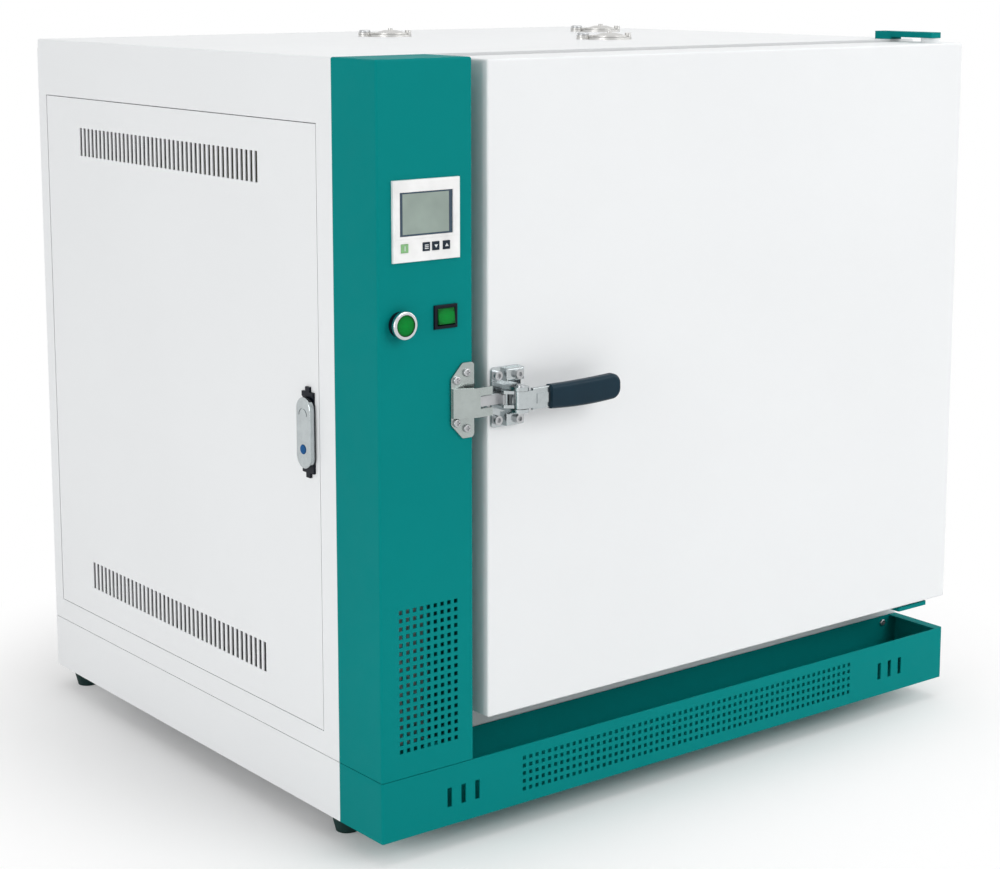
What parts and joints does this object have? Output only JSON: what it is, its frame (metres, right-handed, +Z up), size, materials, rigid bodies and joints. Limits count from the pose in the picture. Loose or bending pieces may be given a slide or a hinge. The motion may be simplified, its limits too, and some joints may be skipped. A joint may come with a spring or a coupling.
{
  "type": "dry heat sterilizer",
  "caption": "Dry heat oven with a side-hinged insulated door, lever latch, control column, open front tray, louvred service door and swivel-covered exhaust ports.",
  "frame": {"origin": "middle of the object's outline, seen from above, on the floor that its feet stand on", "axes": "+X to the right as seen from the door, +Y to the back, +Z up"},
  "size_m": [0.9096, 0.8274, 0.8768],
  "materials": {
    "casing_white": "semi-gloss powder coat",
    "column_teal": "semi-gloss powder coat",
    "stainless": "brushed",
    "zinc_steel": "zinc plated",
    "latch_chrome": "bright plated",
    "mineral_wool": "fibrous",
    "seal_rubber": "matte silicone",
    "foot_rubber": "matte",
    "motor_alloy": "cast",
    "bezel_cream": "satin moulded",
    "display_grey": "glossy",
    "black_plastic": "fine matte",
    "green_plastic": "glossy translucent",
    "key_green": "satin",
    "key_dark": "satin",
    "blue_plastic": "glossy",
    "grip_black": "moulded vinyl"
  },
  "bodies": {
    "cabinet": {"base_frame": "casing_white", "levelling_feet": "foot_rubber", "top_panel": "casing_white", "right_side_panel": "casing_white", "left_side_frame": "casing_white", "front_frame": "casing_white", "rear_cover": "casing_white", "power_gland": "black_plastic", "inner_chamber": "stainless", "insulation": "mineral_wool", "fan_baffle": "stainless", "heater_elements": "stainless", "temperature_probe": "stainless", "shelf_racks": "stainless", "fan_motor": "motor_alloy", "motor_plate": "zinc_steel", "column_cover": "column_teal", "front_tray": "column_teal", "tray_floor": "column_teal", "controller_housing": "bezel_cream", "controller_display": "display_grey", "start_button_barrel": "black_plastic", "start_button_ring": "latch_chrome", "power_switch_bezel": "black_plastic", "hinge_plate_upper": "column_teal", "hinge_plate_lower": "column_teal", "keeper_plate": "latch_chrome", "cabinet_screws": "zinc_steel", "exhaust_ducts": "stainless", "vent_pivot_screws": "zinc_steel", "electrical_plate": "zinc_steel"},
    "fan_rotor": {"fan_shaft": "zinc_steel", "fan_impeller": "stainless"},
    "lower_shelf": {"lower_shelf": "stainless"},
    "upper_shelf": {"upper_shelf": "stainless"},
    "key_power": {"controller_key_power": "key_green"},
    "key_menu": {"controller_key_menu": "key_dark"},
    "key_down": {"controller_key_down": "key_dark"},
    "key_up": {"controller_key_up": "key_dark"},
    "start_button": {"start_button_cap": "green_plastic"},
    "power_switch": {"power_switch_rocker": "green_plastic"},
    "door": {"door_skin": "casing_white", "door_liner": "stainless", "door_insulation": "mineral_wool", "door_gasket": "seal_rubber", "hinge_bushes": "casing_white", "latch_base": "latch_chrome", "latch_bolts": "zinc_steel", "latch_pivot_pin": "zinc_steel"},
    "latch_lever": {"latch_lever": "latch_chrome", "lever_grip": "grip_black"},
    "latch_tongue": {"latch_tongue": "zinc_steel"},
    "service_door": {"service_panel": "casing_white", "side_latch_base": "black_plastic"},
    "side_latch_lever": {"side_latch_lever": "latch_chrome"},
    "side_latch_button": {"side_latch_button": "blue_plastic"},
    "side_latch_bolt": {"side_latch_bolt": "zinc_steel"},
    "vent_cover_left": {"vent_cover_left": "stainless"},
    "vent_cover_front": {"vent_cover_front": "stainless"},
    "vent_cover_right": {"vent_cover_right": "stainless"}
  },
  "joints": [
    {"name": "door_hinge", "type": "hinge", "parent": "cabinet", "child": "door", "pos_m": [0.42585, -0.34625, 0.14], "axis": [0, 0, 1], "range_deg": [0, 110]},
    {"name": "latch_lever_pivot", "type": "hinge", "parent": "door", "child": "latch_lever", "pos_m": [-0.27915, -0.40125, 0.5], "axis": [0, 0, -1], "range_deg": [0, 90]},
    {"name": "latch_tongue_slide", "type": "slide", "parent": "door", "child": "latch_tongue", "axis": [1, 0, 0], "range_m": [0, 0.02263]},
    {"name": "lower_shelf_slide", "type": "slide", "parent": "cabinet", "child": "lower_shelf", "axis": [0, -1, 0], "range_m": [0, 0.17]},
    {"name": "upper_shelf_slide", "type": "slide", "parent": "cabinet", "child": "upper_shelf", "axis": [0, -1, 0], "range_m": [0, 0.17]},
    {"name": "fan_spin", "type": "hinge", "parent": "cabinet", "child": "fan_rotor", "pos_m": [0.07485, 0.17195, 0.5015], "axis": [0, 1, 0], "continuous": true},
    {"name": "service_door_hinge", "type": "hinge", "parent": "cabinet", "child": "service_door", "pos_m": [-0.43915, 0.36075, 0.1245], "axis": [0, 0, -1], "range_deg": [0, 100]},
    {"name": "side_latch_pivot", "type": "hinge", "parent": "service_door", "child": "side_latch_lever", "pos_m": [-0.4513, -0.24125, 0.495], "axis": [0, 1, 0], "range_deg": [0, 35]},
    {"name": "side_latch_button_slide", "type": "slide", "parent": "side_latch_lever", "child": "side_latch_button", "axis": [1, 0, 0], "range_m": [0, 0.002], "stiffness_N_per_m": 400},
    {"name": "side_latch_bolt_slide", "type": "slide", "parent": "service_door", "child": "side_latch_bolt", "axis": [0, 1, 0], "range_m": [0, 0.012]},
    {"name": "start_button_slide", "type": "slide", "parent": "cabinet", "child": "start_button", "axis": [0, 1, 0], "range_m": [0, 0.003], "stiffness_N_per_m": 600},
    {"name": "power_switch_pivot", "type": "hinge", "parent": "cabinet", "child": "power_switch", "pos_m": [-0.35915, -0.37025, 0.59475], "axis": [1, 0, 0], "range_deg": [0, 12]},
    {"name": "key_power_slide", "type": "slide", "parent": "cabinet", "child": "key_power", "axis": [0, 1, 0], "range_m": [0, 0.0008], "stiffness_N_per_m": 800},
    {"name": "key_menu_slide", "type": "slide", "parent": "cabinet", "child": "key_menu", "axis": [0, 1, 0], "range_m": [0, 0.0008], "stiffness_N_per_m": 800},
    {"name": "key_down_slide", "type": "slide", "parent": "cabinet", "child": "key_down", "axis": [0, 1, 0], "range_m": [0, 0.0008], "stiffness_N_per_m": 800},
    {"name": "key_up_slide", "type": "slide", "parent": "cabinet", "child": "key_up", "axis": [0, 1, 0], "range_m": [0, 0.0008], "stiffness_N_per_m": 800},
    {"name": "vent_cover_left_swivel", "type": "hinge", "parent": "cabinet", "child": "vent_cover_left", "pos_m": [-0.06144, 0.20768, 0.8693], "axis": [0, 0, 1], "range_deg": [0, 90]},
    {"name": "vent_cover_front_swivel", "type": "hinge", "parent": "cabinet", "child": "vent_cover_front", "pos_m": [0.09856, -0.05232, 0.8693], "axis": [0, 0, 1], "range_deg": [0, 90]},
    {"name": "vent_cover_right_swivel", "type": "hinge", "parent": "cabinet", "child": "vent_cover_right", "pos_m": [0.29256, 0.19268, 0.8693], "axis": [0, 0, 1], "range_deg": [0, 90]}
  ],
  "couplings": [
    {"joint": "latch_tongue_slide", "follows": "latch_lever_pivot", "m_per_rad": 0.014404},
    {"joint": "lower_shelf_slide", "follows": "door_hinge", "m_per_rad": 0.088548},
    {"joint": "upper_shelf_slide", "follows": "door_hinge", "m_per_rad": 0.088548},
    {"joint": "side_latch_bolt_slide", "follows": "side_latch_pivot", "m_per_rad": 0.019644}
  ]
}
